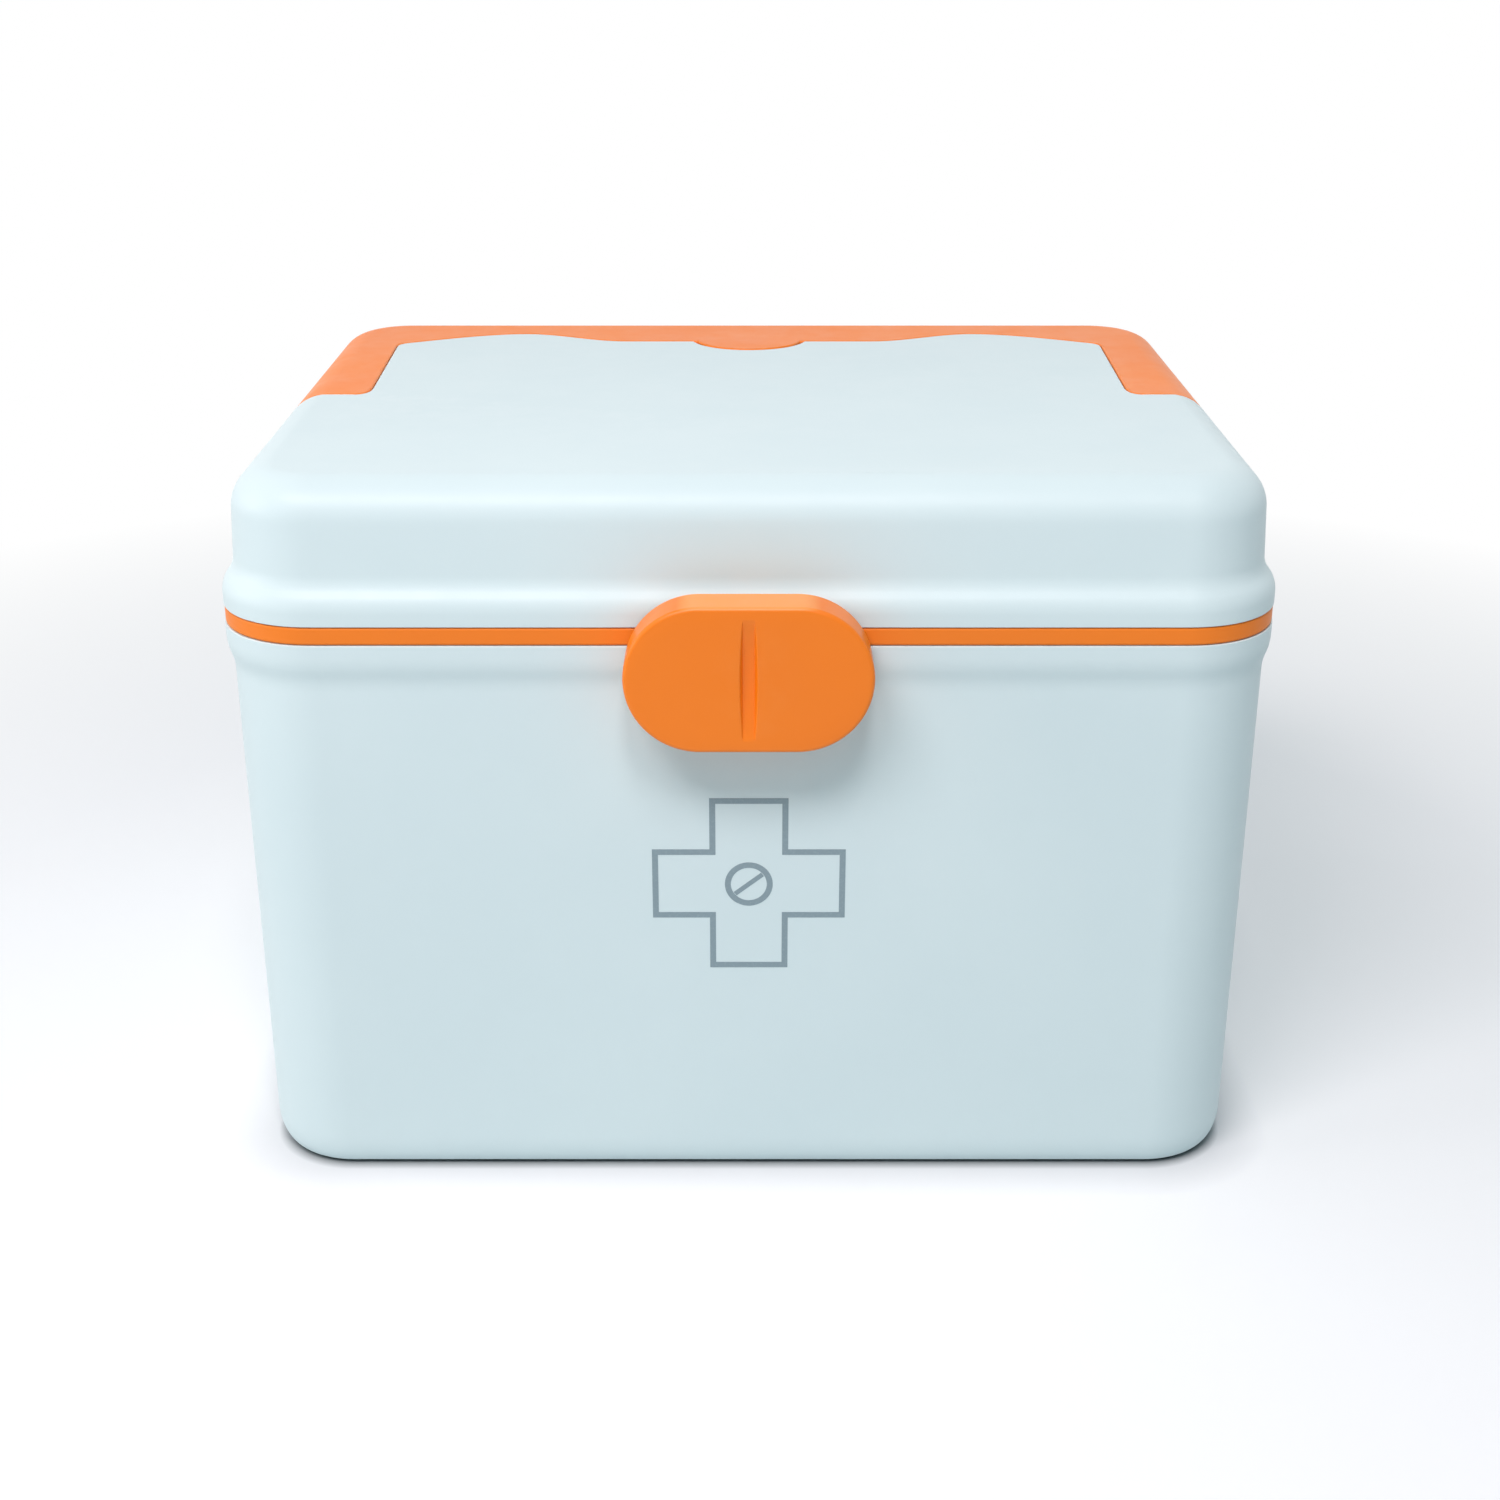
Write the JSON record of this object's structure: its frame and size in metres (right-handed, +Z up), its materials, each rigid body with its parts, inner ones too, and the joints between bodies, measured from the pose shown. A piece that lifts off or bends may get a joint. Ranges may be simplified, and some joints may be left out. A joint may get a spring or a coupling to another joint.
{
  "type": "medication lock box",
  "caption": "Household medicine box with a hinged lid, a folding carry handle, a pill-shaped snap latch and a lift-out tray.",
  "frame": {"origin": "on the floor, under the middle of the overall footprint from the latch's face to the back of the hinge", "axes": "+X to the right seen from the front, +Y from the front to the back, +Z up; the latch faces -Y"},
  "size_m": [0.26, 0.2244, 0.186],
  "materials": {
    "shell": "satin pale blue-white polypropylene",
    "accent": "satin orange polypropylene",
    "seal": "satin orange soft seal",
    "tray": "satin pale polypropylene",
    "divider": "satin pale polypropylene",
    "foot": "matt grey rubber",
    "pin": "plain steel"
  },
  "bodies": {
    "base": {"base_container": "shell", "seal_band": "seal", "foot_front_left": "foot", "foot_front_right": "foot", "foot_rear_left": "foot", "foot_rear_right": "foot", "hinge_pin_left": "pin", "hinge_pin_right": "pin"},
    "lid": {"lid_shell": "shell", "handle_pin_left": "pin", "handle_pin_right": "pin", "latch_pin": "pin"},
    "handle": {"handle": "accent"},
    "latch": {"latch": "accent"},
    "tray": {"tray": "tray", "tray_divider_1": "divider", "tray_divider_2": "divider", "tray_divider_3": "divider"}
  },
  "joints": [
    {"name": "lid_hinge", "type": "hinge", "parent": "base", "child": "lid", "pos_m": [0, 0.1088, 0.14935], "axis": [-1, 0, 0], "range_deg": [0, 105]},
    {"name": "handle_swing", "type": "hinge", "parent": "lid", "child": "handle", "pos_m": [0, 0.0038, 0.1805], "axis": [1, 0, 0], "range_deg": [0, 90]},
    {"name": "latch_swing", "type": "hinge", "parent": "lid", "child": "latch", "pos_m": [0, -0.1048, 0.157], "axis": [-1, 0, 0], "range_deg": [0, 90]},
    {"name": "tray_lift", "type": "slide", "parent": "base", "child": "tray", "axis": [0, 0, 1], "range_m": [0, 0.015]}
  ]
}
